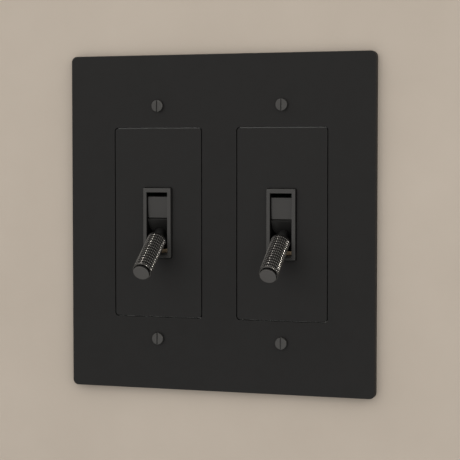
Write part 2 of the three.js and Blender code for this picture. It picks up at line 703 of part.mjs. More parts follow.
for (const [side, x] of Object.entries(GANGS)) {
  const gang = new THREE.Group();
  gang.position.x = x;
  assembly.add(gang);

  const lever = new THREE.Group();
  lever.position.y = PIVOT_Y;
  lever.rotation.x = THREE.MathUtils.degToRad(LEVER_REST_DEG);
  gang.add(lever);

  named(`${side}_insert_plate`, insertPlate(), FINISH.insert, gang);
  named(`${side}_bezel_frame`, bezelFrame(), FINISH.satin, gang);
  named(`${side}_stop_strip`, stopStrip(), FINISH.brass, gang);

  named(`${side}_rocker`, rocker(), FINISH.satin, lever);
  named(`${side}_lever_neck`, leverNeck(), FINISH.neck, lever);
  named(`${side}_knurled_grip`, knurledGrip(), FINISH.grip, lever);
  named(`${side}_end_cap`, endCap(), FINISH.cap, lever);
  named(`${side}_drive_pin`, drivePin(), FINISH.steel, lever);

  named(`${side}_mounting_yoke`, mountingYoke(), FINISH.zinc, gang);
  named(`${side}_pivot_bracket`, pivotBracket(), FINISH.steel, gang);
  named(`${side}_pivot_pin`, pivotPin(), FINISH.steel, gang);
  named(`${side}_pivot_clip`, pivotClip(), FINISH.steel, gang);
  named(`${side}_friction_washer`, frictionWasher(), FINISH.steel, gang);

  named(`${side}_rear_housing`, rearHousing(), FINISH.housing, gang);
  named(`${side}_circuit_board`, circuitBoard(), FINISH.board, gang);
  named(`${side}_slide_pot_body`, slidePotBody(), FINISH.black, gang);
  const carriage = named(`${side}_wiper_carriage`, wiperCarriage(), FINISH.nylon, gang);
  carriage.position.z = DRIVE_PIN.reach * Math.sin(lever.rotation.x);
  named(`${side}_triac`, triac(), FINISH.black, gang);
  named(`${side}_choke`, choke(), FINISH.copper, gang);
  named(`${side}_capacitor`, capacitor(), FINISH.film, gang);

  const groundScrew = slottedScrew(GROUND_SCREW, 0, GROUND_SCREW_TIP);
  const ground = named(`${side}_ground_screw`, groundScrew, FINISH.green, gang);
  ground.position.set(GROUND_SCREW.x, 0, GROUND_SCREW.z);

  for (const [place, end] of Object.entries(ENDS)) {
    const boxScrew = slottedScrew(BOX_SCREW, PLATE_FRONT - FIT_GAP, BOX_SCREW.tip);
    named(`${place}_${side}_plate_screw`, boxScrew, FINISH.screw, gang)
      .position.z = end * SCREW_SPACING / 2;

    const housingScrew = slottedScrew(HOUSING_SCREW, HOUSING_LUG.back + FIT_GAP, HOUSING_SCREW.tip);
    named(`${place}_${side}_housing_screw`, housingScrew, FINISH.zinc, gang)
      .position.z = end * HOUSING_LUG.screwZ;

    const wire = end > 0 ? 'line' : 'load';
    named(`${side}_${wire}_terminal_screw`, terminalScrew(end), FINISH.brass, gang);
    named(`${side}_${wire}_terminal_plate`, terminalPlate(end), FINISH.brass, gang);
  }
}

export default assembly;
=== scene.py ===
"""Looks for the two-gang lever dimmer plate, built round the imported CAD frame.

Metres in the CAD frame: +X right along the wall, +Y into the wall, +Z up. The levers face -Y.
"""
import json
import math

import bmesh
import bpy
from mathutils import Matrix, Vector


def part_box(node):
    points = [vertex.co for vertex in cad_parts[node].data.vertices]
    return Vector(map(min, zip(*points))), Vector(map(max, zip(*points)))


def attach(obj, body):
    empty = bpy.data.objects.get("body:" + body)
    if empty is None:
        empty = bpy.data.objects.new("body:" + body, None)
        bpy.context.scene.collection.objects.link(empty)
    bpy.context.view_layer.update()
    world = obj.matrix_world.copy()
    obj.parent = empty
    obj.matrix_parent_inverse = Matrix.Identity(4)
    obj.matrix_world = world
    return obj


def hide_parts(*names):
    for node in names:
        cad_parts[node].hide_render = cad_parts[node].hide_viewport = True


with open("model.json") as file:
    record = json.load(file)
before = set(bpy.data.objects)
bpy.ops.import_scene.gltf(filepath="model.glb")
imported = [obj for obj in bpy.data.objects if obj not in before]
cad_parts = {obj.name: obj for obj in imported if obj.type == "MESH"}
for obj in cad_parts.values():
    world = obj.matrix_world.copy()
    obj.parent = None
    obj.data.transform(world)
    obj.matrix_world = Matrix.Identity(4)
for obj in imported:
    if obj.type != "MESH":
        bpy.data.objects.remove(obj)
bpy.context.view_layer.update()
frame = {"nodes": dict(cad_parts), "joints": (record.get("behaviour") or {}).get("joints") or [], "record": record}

MM = 0.001
SIDES = ("left", "right")
ENDS = {"upper": 1, "lower": -1}
JOINTS = {joint["name"]: joint for joint in frame["joints"]}

PLATE_LOW, PLATE_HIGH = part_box("wall_plate")
PLATE_FRONT = PLATE_LOW.y
WALL = PLATE_HIGH.y


def size_of(node):
    low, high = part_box(node)
    return high - low


def middle_of(node):
    low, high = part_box(node)
    return (low + high) / 2


# ---------------------------------------------------------------- camera

CAMERA_LENS = 117.5
CAMERA_DISTANCE = 0.5295
CAMERA_AZIMUTH = math.radians(18.05)
CAMERA_ELEVATION = math.radians(2.83)
CAMERA_AIM = Vector((0.0041, PLATE_FRONT, -0.0022))


def make_camera():
    data = bpy.data.cameras.new("camera")
    data.lens = CAMERA_LENS
    data.sensor_width = 36.0
    data.clip_start = 0.01
    data.clip_end = 20.0
    camera = bpy.data.objects.new("camera", data)
    bpy.context.scene.collection.objects.link(camera)
    level = math.cos(CAMERA_ELEVATION)
    back = Vector((
        math.sin(CAMERA_AZIMUTH) * level,
        -math.cos(CAMERA_AZIMUTH) * level,
        math.sin(CAMERA_ELEVATION),
    ))
    camera.location = CAMERA_AIM + back * CAMERA_DISTANCE
    camera.rotation_mode = "QUATERNION"
    camera.rotation_quaternion = (-back).to_track_quat("-Z", "Y")
    bpy.context.scene.camera = camera


make_camera()


# ---------------------------------------------------------------- material nodes
# Noise scales are in cells per metre and bump depths in metres. A tuple of four numbers after a texture
# maps its first two values onto its last two.

EDGE_SAMPLES = 4
EDGE_MATCH = (0.995, 0.9)


class Graph:
    """A material's node tree, with short calls for the nodes that the finishes share."""

    def __init__(self, name):
        self.material = bpy.data.materials.new(name)
        self.material.use_nodes = True
        self.tree = self.material.node_tree
        self.tree.nodes.clear()
        self.shader = self.node("ShaderNodeBsdfPrincipled")
        output = self.node("ShaderNodeOutputMaterial")
        self.link(self.shader.outputs["BSDF"], output.inputs["Surface"])
        self.place = self.node("ShaderNodeTexCoord").outputs["Object"]
        self.last_normal = None

    def node(self, kind, **settings):
        made = self.tree.nodes.new(kind)
        for key, value in settings.items():
            setattr(made, key, value)
        return made

    def link(self, source, target):
        self.tree.links.new(source, target)

    def stretched(self, scale):
        mapping = self.node("ShaderNodeMapping")
        self.link(self.place, mapping.inputs["Vector"])
        mapping.inputs["Scale"].default_value = scale
        return mapping.outputs["Vector"]

    def noise(self, scale, detail=3.0, roughness=0.5, vector=None, distortion=0.0):
        made = self.node("ShaderNodeTexNoise")
        made.inputs["Scale"].default_value = scale
        made.inputs["Detail"].default_value = detail
        made.inputs["Roughness"].default_value = roughness
        made.inputs["Distortion"].default_value = distortion
        self.link(vector or self.place, made.inputs["Vector"])
        return made.outputs["Fac"]

    def voronoi(self, scale):
        made = self.node("ShaderNodeTexVoronoi")
        made.inputs["Scale"].default_value = scale
        self.link(self.place, made.inputs["Vector"])
        return made.outputs["Distance"]

    def spread(self, value, low, high, to_low, to_high):
        made = self.node("ShaderNodeMapRange")
        self.link(value, made.inputs["Value"])
        made.inputs["From Min"].default_value = low
        made.inputs["From Max"].default_value = high
        made.inputs["To Min"].default_value = to_low
        made.inputs["To Max"].default_value = to_high
        return made.outputs["Result"]

    def arithmetic(self, operation, first, second):
        made = self.node("ShaderNodeMath", operation=operation)
        for socket, value in zip(made.inputs, (first, second)):
            if isinstance(value, (int, float)):
                socket.default_value = value
            else:
                self.link(value, socket)
        return made.outputs["Value"]

    def blend_colours(self, factor, first, second):
        made = self.node("ShaderNodeMix", data_type="RGBA")
        self.link(factor, made.inputs["Factor"])
        for socket, value in ((made.inputs["A"], first), (made.inputs["B"], second)):
            if isinstance(value, tuple):
                socket.default_value = (*value, 1.0)
            else:
                self.link(value, socket)
        return made.outputs["Result"]

    def edge_mask(self, radius):
        """1 on sharp outer edges and inner corners, 0 on flats."""
        bevel = self.node("ShaderNodeBevel", samples=EDGE_SAMPLES)
        bevel.inputs["Radius"].default_value = radius
        facing = self.node("ShaderNodeNewGeometry")
        match = self.node("ShaderNodeVectorMath", operation="DOT_PRODUCT")
        self.link(bevel.outputs["Normal"], match.inputs[0])
        self.link(facing.outputs["Normal"], match.inputs[1])
        return self.spread(match.outputs["Value"], *EDGE_MATCH, 0.0, 1.0)

    def attribute(self, name):
        return self.node("ShaderNodeAttribute", attribute_name=name).outputs["Fac"]

    def bump(self, height, distance):
        """Adds a bump of this depth in metres on top of the bumps already made."""
        made = self.node("ShaderNodeBump")
        made.inputs["Distance"].default_value = distance
        made.inputs["Strength"].default_value = 1.0
        self.link(height, made.inputs["Height"])
        if self.last_normal is not None:
            self.link(self.last_normal, made.inputs["Normal"])
        self.last_normal = made.outputs["Normal"]
        self.link(self.last_normal, self.shader.inputs["Normal"])

    def colour(self, source):
        self.link(source, self.shader.inputs["Base Color"])

    def rough(self, source):
        self.link(source, self.shader.inputs["Roughness"])


def scaled(colour, factor):
    return tuple(min(1.0, channel * factor) for channel in colour)


COATING = {
    "cloud_scale": 70, "speck_scale": 5200, "speck_mask": (0.62, 0.8, 0.0, 0.35), "speck_lift": 1.5,
    "gloss_scale": 210, "gloss_spread": (0.9, 1.12), "wear_scale": 900, "wear_mask": (0.35, 0.65, 0.25, 1.0),
    "wear_gloss": 0.12, "ripple_scale": 140, "ripple_share": 1.2,
}


def coated(name, colour, roughness, metallic=0.0, mottle=0.12, grain=(1900, 9e-6), edge=None, coat=0.0,
           specular=0.5, dull_and_shaded=None):
    """Paint, plating or moulding: clouded colour, uneven gloss, a fine grain and lighter worn edges.

    grain is a scale and a depth, and edge is a radius and how many times lighter the worn edge is.
    The darkening argument is how dark the finish is where a piece's per-face shade attribute is 0, as a share of
    its full colour: this darkening is painted shade, and on the rocker's boss partly a duller finish too.
    """
    look = COATING
    graph = Graph(name)
    clouds = graph.noise(look["cloud_scale"], 4, 0.6)
    tone = graph.blend_colours(clouds, scaled(colour, 1 - mottle), scaled(colour, 1 + mottle))
    specks = graph.noise(look["speck_scale"], 2, 0.5)
    speck_mask = graph.spread(specks, *look["speck_mask"])
    tone = graph.blend_colours(speck_mask, tone, scaled(colour, look["speck_lift"]))
    least, most = (roughness * share for share in look["gloss_spread"])
    gloss = graph.spread(graph.noise(look["gloss_scale"], 5, 0.65), 0.3, 0.7, least, most)
    if edge:
        radius, lift = edge
        patchy = graph.spread(graph.noise(look["wear_scale"], 3, 0.6), *look["wear_mask"])
        mask = graph.arithmetic("MULTIPLY", graph.edge_mask(radius), patchy)
        tone = graph.blend_colours(mask, tone, scaled(colour, lift))
        polished = graph.arithmetic("MULTIPLY", mask, look["wear_gloss"])
        gloss = graph.arithmetic("SUBTRACT", gloss, polished)
    # Painted shade: where the per-face shade attribute is low, the colour is darkened towards the given share.
    if dull_and_shaded is not None:
        tone = graph.blend_colours(graph.attribute("polish_and_shade"), scaled(colour, dull_and_shaded), tone)
    graph.colour(tone)
    graph.rough(gloss)
    graph.shader.inputs["Metallic"].default_value = metallic
    graph.shader.inputs["Coat Weight"].default_value = coat
    graph.shader.inputs["Specular IOR Level"].default_value = specular
    scale, depth = grain
    graph.bump(graph.noise(scale, 3, 0.55), depth)
    graph.bump(graph.noise(look["ripple_scale"], 2, 0.5), depth * look["ripple_share"])
    return graph


BRUSHING = {
    "line_scale": 6500, "line_depth": 3e-6, "line_tones": (0.86, 1.14), "line_gloss": (0.85, 1.2),
    "stain_scale": 55, "stain_mask": (0.35, 0.7, 0.0, 0.5), "stain_tone": 0.82,
}


def brushed(name, colour, roughness, stretch, edge):
    """Metal with fine lines along one way, made by stretching a noise."""
    look = BRUSHING
    graph = Graph(name)
    along = graph.stretched(stretch)
    streaks = graph.noise(look["line_scale"], 4, 0.6, vector=along)
    dark, light = (scaled(colour, share) for share in look["line_tones"])
    tone = graph.blend_colours(streaks, dark, light)
    stains = graph.spread(graph.noise(look["stain_scale"], 4, 0.6, distortion=0.4), *look["stain_mask"])
    tone = graph.blend_colours(stains, tone, scaled(colour, look["stain_tone"]))
    radius, lift = edge
    tone = graph.blend_colours(graph.edge_mask(radius), tone, scaled(colour, lift))
    graph.colour(tone)
    least, most = (roughness * share for share in look["line_gloss"])
    graph.rough(graph.spread(streaks, 0.3, 0.7, least, most))
    graph.shader.inputs["Metallic"].default_value = 1.0
    graph.bump(streaks, look["line_depth"])
    return graph


KNURL_DARK = (0.026, 0.025, 0.024)
KNURL_WORN = (0.235, 0.227, 0.216)
KNURL_ROUGHNESS = (0.26, 0.18)


def knurl_finish():
    """Dark plated knurl: worn bright on the crests, dull in the grooves."""
    graph = Graph("knurled_metal")
    crest = graph.spread(graph.attribute("crest"), 0.1, 0.9, 0.0, 1.0)
    patchy = graph.spread(graph.noise(700, 4, 0.6), 0.3, 0.7, 0.45, 1.0)
    worn = graph.arithmetic("MULTIPLY", crest, patchy)
    graph.colour(graph.blend_colours(worn, KNURL_DARK, KNURL_WORN))
    graph.rough(graph.spread(worn, 0.0, 1.0, *KNURL_ROUGHNESS))
    graph.shader.inputs["Metallic"].default_value = 0.9
    graph.bump(graph.noise(5200, 3, 0.6), 3e-6)
    return graph


CAP_RING_TURN = 40.0
CAP_TONES = ((0.096, 0.0935, 0.0905), (0.112, 0.1095, 0.106))
CAP_EDGE = (0.16, 0.157, 0.15)
CAP_EDGE_RADIUS = 0.22 * MM
# Painted shade for the cap's side and waist.
CAP_PAINTED_SHADE = (0.014, 0.0137, 0.0133)


def turned_finish():
    """The faced end of the lever: faint rings round its own axis, and painted shade on the head's side and waist.
    """
    graph = Graph("cap_metal")
    turn = graph.arithmetic("MULTIPLY", graph.attribute("radius_mm"), CAP_RING_TURN)
    phase = graph.arithmetic("SINE", turn, 0.0)
    rings = graph.spread(phase, -1.0, 1.0, 0.0, 1.0)
    tone = graph.blend_colours(graph.noise(160, 4, 0.6), *CAP_TONES)
    tone = graph.blend_colours(graph.edge_mask(CAP_EDGE_RADIUS), tone, CAP_EDGE)
    # Painted shade: the head's side and waist are darkened where the crest value is 0.
    tone = graph.blend_colours(graph.attribute("crest"), CAP_PAINTED_SHADE, tone)
    graph.colour(tone)
    graph.rough(graph.spread(graph.noise(420, 4, 0.6), 0.3, 0.7, 0.44, 0.52))
    graph.shader.inputs["Metallic"].default_value = 0.55
    graph.bump(rings, 1.2e-6)
    graph.bump(graph.noise(3000, 3, 0.5), 2e-6)
    return graph


def board_finish():
    """Green solder mask over darker copper runs, with bright pads."""
    graph = Graph("board_green")
    runs = graph.node("ShaderNodeTexBrick")
    graph.link(graph.place, runs.inputs["Vector"])
    runs.inputs["Scale"].default_value = 160
    runs.inputs["Mortar Size"].default_value = 0.06
    runs.inputs["Color1"].default_value = (0.018, 0.11, 0.045, 1)
    runs.inputs["Color2"].default_value = (0.022, 0.13, 0.05, 1)
    runs.inputs["Mortar"].default_value = (0.05, 0.24, 0.09, 1)
    pads = graph.spread(graph.voronoi(260), 0.12, 0.16, 1.0, 0.0)
    graph.colour(graph.blend_colours(pads, runs.outputs["Color"], (0.55, 0.55, 0.52)))
    graph.rough(graph.spread(graph.noise(300), 0.3, 0.7, 0.28, 0.4))
    graph.bump(runs.outputs["Fac"], 2e-5)
    return graph


def wound_finish():
    """Varnished copper wire lying side by side round a ring."""
    graph = Graph("copper")
    wave = graph.node("ShaderNodeTexWave", wave_type="BANDS", bands_direction="X")
    graph.link(graph.place, wave.inputs["Vector"])
    wave.inputs["Scale"].default_value = 420
    wave.inputs["Distortion"].default_value = 0.6
    graph.colour(graph.blend_colours(wave.outputs["Fac"], (0.19, 0.062, 0.022), (0.52, 0.2, 0.085)))
    graph.rough(graph.spread(graph.noise(300), 0.3, 0.7, 0.24, 0.36))
    graph.shader.inputs["Metallic"].default_value = 0.8
    graph.bump(wave.outputs["Fac"], 1.5e-4)
    return graph


PLATE_BLACK = (0.0070, 0.0068, 0.0066)
DARK_METAL = (0.060, 0.0592, 0.0578)
FINISHES = {
    "plate_black": coated(
        "plate_black", PLATE_BLACK, 0.52, mottle=0.07, edge=(0.3 * MM, 2.0), specular=0.26,
    ),
    "insert_black": coated(
        "insert_black", PLATE_BLACK, 0.48, mottle=0.07, edge=(0.25 * MM, 2.0), specular=0.27,
    ),
    "satin_metal": coated(
        "satin_metal", DARK_METAL, 0.42, metallic=0.7, mottle=0.06, grain=(3200, 4e-6),
        edge=(0.2 * MM, 1.7), dull_and_shaded=0.12,
    ),
    "neck_black": coated(
        "neck_black", (0.010, 0.0098, 0.0096), 0.44, metallic=0.2, mottle=0.08, grain=(3000, 4e-6),
        edge=(0.2 * MM, 2.0), specular=0.3,
    ),
    "knurled_metal": knurl_finish(),
    "cap_metal": turned_finish(),
    "screw_metal": coated(
        "screw_metal", (0.066, 0.065, 0.063), 0.4, metallic=0.7, mottle=0.1, grain=(2600, 6e-6),
        edge=(0.2 * MM, 1.8),
    ),
    "brass": brushed("brass", (0.52, 0.4, 0.27), 0.4, (0.04, 1, 1), edge=(0.3 * MM, 1.4)),
    "steel": brushed("steel", (0.40, 0.405, 0.41), 0.34, (1, 1, 0.04), edge=(0.3 * MM, 1.25)),
    "zinc": brushed("zinc", (0.47, 0.48, 0.475), 0.42, (0.05, 1, 1), edge=(0.4 * MM, 1.2)),
    "housing_black": coated(
        "housing_black", (0.016, 0.016, 0.0175), 0.46, mottle=0.1, grain=(1500, 2.2e-5),
        edge=(0.6 * MM, 2.4),
    ),
    "board_green": board_finish(),
    "black_plastic": coated(
        "black_plastic", (0.014, 0.014, 0.015), 0.4, mottle=0.1, grain=(1800, 1.6e-5), edge=(0.4 * MM, 2.2),
    ),
    "nylon": coated(
        "nylon", (0.66, 0.62, 0.52), 0.48, mottle=0.04, grain=(900, 1.2e-5), edge=(0.4 * MM, 1.15),
    ),
    "copper": wound_finish(),
    "film_red": coated(
        "film_red", (0.34, 0.085, 0.035), 0.3, mottle=0.08, grain=(500, 2e-5), edge=(0.6 * MM, 1.3), coat=0.4,
    ),
    "green_screw": coated(
        "green_screw", (0.03, 0.17, 0.055), 0.36, metallic=0.5, mottle=0.1, grain=(2200, 8e-6),
        edge=(0.3 * MM, 2.0),
    ),
}
SLOT_OF = {entry["node"]: entry["material_slot"] for entry in frame["record"]["subparts"]}


def dress(obj, node):
    """Gives a piece the finish of the CAD node that it stands for."""
    slot = SLOT_OF[node]
    obj.data.materials.clear()
    obj.data.materials.append(FINISHES[slot].material)


for node_name, node_object in frame["nodes"].items():
    dress(node_object, node_name)


# ---------------------------------------------------------------- mesh helpers

SMOOTH_ANGLE = math.radians(34)
FLAT_WEIGHT = 80
WELD = 1e-6
FLAT_ANGLE = math.radians(1.0)
CORNER_STEPS = 8


def finish_mesh(mesh, name, place=None):
    """Turns a bmesh into an object with outward faces, smooth but for its real corners."""
    if place is not None:
        mesh.transform(place)
    bmesh.ops.recalc_face_normals(mesh, faces=mesh.faces)
    for face in mesh.faces:
        face.smooth = True
    for edge in mesh.edges:
        edge.smooth = len(edge.link_faces) == 2 and edge.calc_face_angle(0.0) < SMOOTH_ANGLE
    data = bpy.data.meshes.new(name)
    mesh.to_mesh(data)
    mesh.free()
    obj = bpy.data.objects.new(name, data)
    bpy.context.scene.collection.objects.link(obj)
    return obj


def cut_away(obj, cutter):
    """Takes a bmesh out of an object and keeps the result as plain mesh."""
    cutter_object = finish_mesh(cutter, f"{obj.name}_cutter")
    modifier = obj.modifiers.new("cut", "BOOLEAN")
    modifier.operation = "DIFFERENCE"
    modifier.object = cutter_object
    modifier.solver = "EXACT"
    graph = bpy.context.evaluated_depsgraph_get()
    cut_data = bpy.data.meshes.new_from_object(obj.evaluated_get(graph))
    obj.modifiers.clear()
    obj.data = cut_data
    obj.data.set_sharp_from_angle(angle=SMOOTH_ANGLE)
    bpy.data.objects.remove(cutter_object)


def weigh_normals(obj):
    """Keeps flat faces flat beside their small rounded edges."""
    modifier = obj.modifiers.new("weigh", "WEIGHTED_NORMAL")
    modifier.keep_sharp = True
    modifier.weight = FLAT_WEIGHT


def stand_in(obj, node, body):
    dress(obj, node)
    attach(obj, body)
    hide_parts(node)


def rounded_loop(width, height, radius, steps=CORNER_STEPS):
    """Points round a rectangle with round corners, centred on the origin, as (x, z)."""
    points = []
    corners = ((1, 1, 0), (-1, 1, 1), (-1, -1, 2), (1, -1, 3))
    for sign_x, sign_z, quarter in corners:
        for step in range(steps + 1):
            angle = (quarter + step / steps) * math.pi / 2
            points.append((
                sign_x * (width / 2 - radius) + radius * math.cos(angle),
                sign_z * (height / 2 - radius) + radius * math.sin(angle),
            ))
    return points


def circle_loop(radius, steps=40):
    return [
        (radius * math.cos(2 * math.pi * step / steps), radius * math.sin(2 * math.pi * step / steps))
        for step in range(steps)
    ]


class Sheet:
    """Builds a plate out of loops: walls between loops of the same count, and flat caps between loops."""

    def __init__(self):
        self.mesh = bmesh.new()

    def ring(self, loop, y, centre=(0.0, 0.0)):
        return [self.mesh.verts.new((x + centre[0], y, z + centre[1])) for x, z in loop]

    def wall(self, rings):
        for first, second in zip(rings, rings[1:]):
            count = len(first)
            for index in range(count):
                after = (index + 1) % count
                self.mesh.faces.new((first[index], first[after], second[after], second[index]))

    def cap(self, *rings):
        edges = []
        for ring in rings:
            for index, vert in enumerate(ring):
                after = ring[(index + 1) % len(ring)]
                edges.append(self.mesh.edges.get((vert, after)) or self.mesh.edges.new((vert, after)))
        bmesh.ops.triangle_fill(self.mesh, use_beauty=True, use_dissolve=False, edges=edges)


def eased(width, height, radius, rings, hole=False):
    """Loops of one rounded rectangle at each (inset, y): a hole's inset widens it instead."""
    made = []
    for inset, y in rings:
        shift = inset if hole else -inset
        grown = max(radius + shift, 0.02 * MM)
        made.append((rounded_loop(width + 2 * shift, height + 2 * shift, grown), y))
    return made


def edge_rings(front, back, ease, steps=3):
    """Insets and depths of a quarter-round front edge, then straight to the back."""
    rings = []
    for step in range(steps + 1):
        angle = step / steps * math.pi / 2
        rings.append((ease * (1 - math.sin(angle)), front + ease * (1 - math.cos(angle))))
    rings.append((0.0, back))
    return rings


# ---------------------------------------------------------------- wall plate and inserts

PLATE_CORNER = 2.0 * MM
PLATE_EASE = 0.35 * MM
JOINT_GAP = 0.25 * MM
INSERT_CORNER = 1.0 * MM
INSERT_EASE = 0.22 * MM
BEZEL_FACE = (10.4 * MM, 24.8 * MM)
BEZEL_SLOT = (7.7 * MM, 21.6 * MM)
BEZEL_CORNER = 0.35 * MM
BEZEL_GAP = 0.22 * MM
STUD_RADIUS = 1.5 * MM
STUD_HEIGHT = 28 * MM
STUD_EASE = 0.2 * MM
STUD_STEPS = 24
PLATE_BACK_EASE = 0.1 * MM
POCKET = {"width": 34.4 * MM, "height": 107.6 * MM, "depth": 1.6 * MM, "corner": 1.5 * MM}
SCREW_HOLE = 1.9 * MM
INSERT_THICK = 1.4 * MM
INSERT_HOLE_EASE = 0.1 * MM


def gang_centre(side):
    return JOINTS[f"{side}_lever_hinge"]["pos_m"][0]


def screw_height(end):
    return ENDS[end] * abs(middle_of("upper_left_plate_screw").z)


def build_wall_plate():
    sheet = Sheet()
    size = PLATE_HIGH - PLATE_LOW
    front_rings = []
    pocket_floor = WALL - POCKET["depth"]
    sides_end = WALL - PLATE_BACK_EASE
    outer = eased(size.x, size.z, PLATE_CORNER, edge_rings(PLATE_FRONT, sides_end, PLATE_EASE))
    outer += eased(size.x, size.z, PLATE_CORNER, [(PLATE_BACK_EASE, WALL)])
    walls = [sheet.ring(loop, y) for loop, y in outer]
    sheet.wall(walls)
    front_rings.append(walls[0])
    back_rings = [walls[-1]]
    for side in SIDES:
        x = gang_centre(side)
        insert = size_of(f"{side}_insert_plate")
        opening = eased(
            insert.x + 2 * JOINT_GAP, insert.z + 2 * JOINT_GAP, INSERT_CORNER + JOINT_GAP,
            edge_rings(PLATE_FRONT, pocket_floor, INSERT_EASE), hole=True,
        )
        rings = [sheet.ring(loop, y, (x, 0)) for loop, y in opening]
        sheet.wall(rings)
        front_rings.append(rings[0])
        pocket = rounded_loop(POCKET["width"], POCKET["height"], POCKET["corner"])
        pocket_back = sheet.ring(pocket, WALL, (x, 0))
        pocket_front = sheet.ring(pocket, pocket_floor, (x, 0))
        sheet.wall([pocket_back, pocket_front])
        back_rings.append(pocket_back)
        floor_rings = [pocket_front, rings[-1]]
        for end in ENDS:
            hole = circle_loop(SCREW_HOLE)
            centre = (x, screw_height(end))
            hole_front = sheet.ring(hole, PLATE_FRONT, centre)
            hole_back = sheet.ring(hole, pocket_floor, centre)
            sheet.wall([hole_front, hole_back])
            front_rings.append(hole_front)
            floor_rings.append(hole_back)
        sheet.cap(*floor_rings)
    sheet.cap(*front_rings)
    sheet.cap(*back_rings)
    plate = finish_mesh(sheet.mesh, "wall_plate_finished")
    weigh_normals(plate)
    stand_in(plate, "wall_plate", "root")


def build_insert(side):
    node = f"{side}_insert_plate"
    low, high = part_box(node)
    x = gang_centre(side)
    opening_width, opening_height = BEZEL_FACE[0] + 2 * BEZEL_GAP, BEZEL_FACE[1] + 2 * BEZEL_GAP
    back = low.y + INSERT_THICK
    sheet = Sheet()
    outer = eased(high.x - low.x, high.z - low.z, INSERT_CORNER, edge_rings(low.y, back, INSERT_EASE))
    outer_rings = [sheet.ring(loop, y, (x, 0)) for loop, y in outer]
    sheet.wall(outer_rings)
    opening = eased(
        opening_width, opening_height, BEZEL_CORNER + BEZEL_GAP,
        edge_rings(low.y, back, INSERT_HOLE_EASE), hole=True,
    )
    hole_rings = [sheet.ring(loop, y, (x, 0)) for loop, y in opening]
    sheet.wall(hole_rings)
    back_rings = [outer_rings[-1], hole_rings[-1]]
    stud = circle_loop(STUD_RADIUS, STUD_STEPS)
    tip = circle_loop(STUD_RADIUS - STUD_EASE, STUD_STEPS)
    for sign in ENDS.values():
        centre = (x, sign * STUD_HEIGHT)
        stud_root = sheet.ring(stud, back, centre)
        stud_edge = sheet.ring(stud, high.y - STUD_EASE, centre)
        stud_tip = sheet.ring(tip, high.y, centre)
        sheet.wall([stud_root, stud_edge, stud_tip])
        sheet.cap(stud_tip)
        back_rings.append(stud_root)
    sheet.cap(outer_rings[0], hole_rings[0])
    sheet.cap(*back_rings)
    insert = finish_mesh(sheet.mesh, f"{side}_insert_plate_finished")
    weigh_normals(insert)
    stand_in(insert, node, "root")


BEZEL_EASE = 0.1 * MM
BEZEL_LIP = {"side": 0.14 * MM, "top": 0.14 * MM, "bottom": 0.75 * MM, "depth": 0.45 * MM}
# Painted shade on the bezel: the inner slot walls are painted dark and the lip's chamfer half dark, as shade.
BEZEL_PAINTED_SHADE = {"bright": 1.0, "shaded": 0.45, "dark": 0.0}
BEZEL_LEAST_CORNER = 0.08 * MM
BEZEL_CORNER_STEPS = 5
FLANGE_THICK = 1.5 * MM
RELIEF = {"height": 23.4 * MM, "depth": 1.7 * MM, "draft": 0.02 * MM}


def build_bezel(side):
    """One closed band of loops: over the face, back to the flange, and in again through the slot."""
    node = f"{side}_bezel_frame"
    low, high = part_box(node)
    x = gang_centre(side)
    front, back = low.y, high.y
    face_width, face_height = BEZEL_FACE
    slot_width, slot_height = BEZEL_SLOT
    flange = (high.x - low.x, high.z - low.z)
    flange_front = back - FLANGE_THICK
    relief_front = back - RELIEF["depth"]
    lip = BEZEL_LIP
    lip_width = slot_width + 2 * lip["side"]
    lip_height = slot_height + lip["top"] + lip["bottom"]
    lip_drop = (lip["top"] - lip["bottom"]) / 2
    ease = BEZEL_EASE
    draft = RELIEF["draft"]
    bright, shaded, dark = BEZEL_PAINTED_SHADE.values()
    # width, height, y, how far its centre is off the slot's, and the share of colour that the band up to the next
    # loop keeps under its painted shade (1 is unshaded)
    loops = [
        (face_width - 2 * ease, face_height - 2 * ease, front, 0.0, bright),
        (face_width - 0.6 * ease, face_height - 0.6 * ease, front + 0.3 * ease, 0.0, bright),
        (face_width, face_height, front + ease, 0.0, bright),
        (face_width, face_height, flange_front, 0.0, bright),
        (*flange, flange_front, 0.0, bright),
        (*flange, back, 0.0, bright),
        (slot_width + 2 * draft, RELIEF["height"], back, 0.0, dark),
        (slot_width + draft, RELIEF["height"], relief_front, 0.0, dark),
        (slot_width, slot_height, relief_front, 0.0, dark),
        (slot_width, slot_height, front + lip["depth"], 0.0, shaded),
        (lip_width, lip_height, front, lip_drop, bright),
    ]
    sheet = Sheet()
    # Painted shade: each face keeps how much of the metal's colour it shows, dark in the slot and on the lip.
    polish_and_shade = sheet.mesh.faces.layers.float.new("polish_and_shade")
    rings = []
    for width, height, y, drop, _ in loops:
        radius = max(BEZEL_CORNER * (width / face_width) ** 4, BEZEL_LEAST_CORNER)
        rings.append(sheet.ring(rounded_loop(width, height, radius, BEZEL_CORNER_STEPS), y, (x, drop)))
    sheet.wall(rings + [rings[0]])
    sheet.mesh.faces.ensure_lookup_table()
    for index, face in enumerate(sheet.mesh.faces):
        face[polish_and_shade] = loops[index // len(rings[0])][-1]
    bezel = finish_mesh(sheet.mesh, f"{side}_bezel_frame_finished")
    weigh_normals(bezel)
    stand_in(bezel, node, "root")


# ---------------------------------------------------------------- turned pieces

POLE = 1e-7


